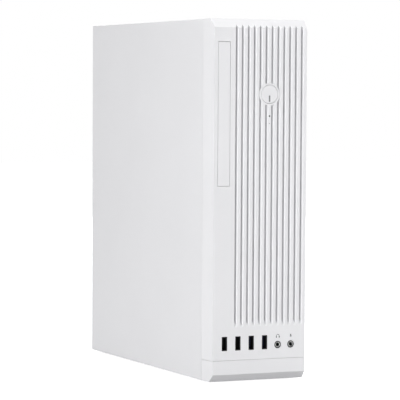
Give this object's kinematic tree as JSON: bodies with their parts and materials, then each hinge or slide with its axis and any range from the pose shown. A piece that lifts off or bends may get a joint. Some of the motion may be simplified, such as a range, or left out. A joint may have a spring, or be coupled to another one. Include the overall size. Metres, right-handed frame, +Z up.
{
  "type": "desktop computer tower",
  "caption": "Slim white desktop computer tower with a ribbed front, power button, front sockets and a sliding steel cover over its main board, drive and power supply.",
  "frame": {"origin": "centre of the footprint, on the surface that the feet stand on", "axes": "+Z up, the ribbed front faces -Y, the cover's side panel faces -X"},
  "size_m": [0.0974, 0.298, 0.332],
  "materials": {
    "bezel_plastic": "fine satin moulded",
    "button_plastic": "satin moulded",
    "smoked_window": "smoked translucent",
    "dark_plastic": "moulded",
    "light_plastic": "moulded nylon",
    "connector_plastic": "moulded nylon",
    "fan_plastic": "glass-filled moulded",
    "tongue_plastic": "moulded",
    "jack_plastic": "moulded",
    "foot_rubber": "matte",
    "cover_paint": "fine powder coat",
    "zinc_steel": "zinc plated",
    "screw_steel": "nickel plated",
    "nickel_lid": "nickel plated",
    "fin_aluminium": "extruded",
    "drive_casting": "cast",
    "spacer_brass": "turned",
    "circuit_board": "solder mask",
    "cable_jacket": "soft PVC"
  },
  "bodies": {
    "chassis": {"front_bezel": "bezel_plastic", "lower_bezel": "bezel_plastic", "optical_bay_cover": "bezel_plastic", "activity_lens": "smoked_window", "front_frame": "zinc_steel", "right_wall": "cover_paint", "floor_plate": "zinc_steel", "rear_panel": "zinc_steel", "slot_covers": "zinc_steel", "rubber_feet": "foot_rubber", "drive_cage": "zinc_steel", "motherboard": "circuit_board", "processor_socket": "dark_plastic", "processor": "nickel_lid", "heat_sink": "fin_aluminium", "board_spacers": "spacer_brass", "memory_slots": "dark_plastic", "memory_modules": "circuit_board", "expansion_slot": "dark_plastic", "chipset_heat_sink": "fin_aluminium", "coin_cell": "nickel_lid", "board_connectors": "connector_plastic", "board_components": "dark_plastic", "rear_data_ports": "nickel_lid", "lan_port": "nickel_lid", "rear_audio_jacks": "dark_plastic", "rear_socket_shield": "zinc_steel", "exhaust_fan_frame": "fan_plastic", "cooler_fan_frame": "fan_plastic", "supply_fan_frame": "fan_plastic", "supply_case": "zinc_steel", "supply_circuit": "circuit_board", "power_inlet": "dark_plastic", "inlet_pins": "spacer_brass", "switch_frame": "dark_plastic", "rear_screws": "screw_steel", "hard_drive": "drive_casting", "front_socket_board": "circuit_board", "front_usb_ports": "dark_plastic", "front_usb_tongues": "tongue_plastic", "front_audio_jacks": "jack_plastic", "switch_board": "circuit_board", "inner_screws": "screw_steel", "power_loom": "cable_jacket", "data_cable": "cable_jacket", "front_usb_cable": "cable_jacket", "switch_cable": "cable_jacket", "cable_plugs": "light_plastic"},
    "cover": {"cover": "cover_paint"},
    "thumbscrew_lower": {"thumbscrew_lower": "screw_steel"},
    "thumbscrew_upper": {"thumbscrew_upper": "screw_steel"},
    "power_button": {"power_button": "button_plastic", "power_button_window": "smoked_window"},
    "reset_button": {"reset_button": "dark_plastic"},
    "exhaust_rotor": {"exhaust_fan_rotor": "fan_plastic"},
    "cooler_rotor": {"cooler_fan_rotor": "fan_plastic"},
    "supply_rotor": {"supply_fan_rotor": "fan_plastic"},
    "supply_rocker": {"supply_rocker": "dark_plastic"},
    "memory_latch_1": {"memory_latch_1": "light_plastic"},
    "memory_latch_2": {"memory_latch_2": "light_plastic"}
  },
  "joints": [
    {"name": "cover_slide", "type": "slide", "parent": "chassis", "child": "cover", "axis": [0, 1, 0], "range_m": [0, 0.29]},
    {"name": "thumbscrew_lower_turn", "type": "hinge", "parent": "cover", "child": "thumbscrew_lower", "pos_m": [-0.0409, 0.145, 0.062], "axis": [0, 1, 0], "continuous": true},
    {"name": "thumbscrew_upper_turn", "type": "hinge", "parent": "cover", "child": "thumbscrew_upper", "pos_m": [-0.0409, 0.145, 0.268], "axis": [0, 1, 0], "continuous": true},
    {"name": "power_press", "type": "slide", "parent": "chassis", "child": "power_button", "axis": [0, 1, 0], "range_m": [0, 0.0012], "stiffness_N_per_m": 900, "springref_m": -0.0006},
    {"name": "reset_press", "type": "slide", "parent": "chassis", "child": "reset_button", "axis": [0, 1, 0], "range_m": [0, 0.0006], "stiffness_N_per_m": 900, "springref_m": -0.0006},
    {"name": "exhaust_spin", "type": "hinge", "parent": "chassis", "child": "exhaust_rotor", "pos_m": [0.002, 0.132, 0.2495], "axis": [0, 1, 0], "continuous": true},
    {"name": "cooler_spin", "type": "hinge", "parent": "chassis", "child": "cooler_rotor", "pos_m": [0.004, 0.066, 0.14], "axis": [1, 0, 0], "continuous": true},
    {"name": "supply_spin", "type": "hinge", "parent": "chassis", "child": "supply_rotor", "pos_m": [0.02, 0.131, 0.30975], "axis": [0, 1, 0], "continuous": true},
    {"name": "rocker_tilt", "type": "hinge", "parent": "chassis", "child": "supply_rocker", "pos_m": [-0.018, 0.1406, 0.3195], "axis": [1, 0, 0], "range_deg": [-16, 0]},
    {"name": "latch_1_swing", "type": "hinge", "parent": "chassis", "child": "memory_latch_1", "pos_m": [0.03645, -0.004, 0.1992], "axis": [0, 1, 0], "range_deg": [0, 35]},
    {"name": "latch_2_swing", "type": "hinge", "parent": "chassis", "child": "memory_latch_2", "pos_m": [0.03645, -0.0135, 0.1992], "axis": [0, 1, 0], "range_deg": [0, 35]}
  ]
}
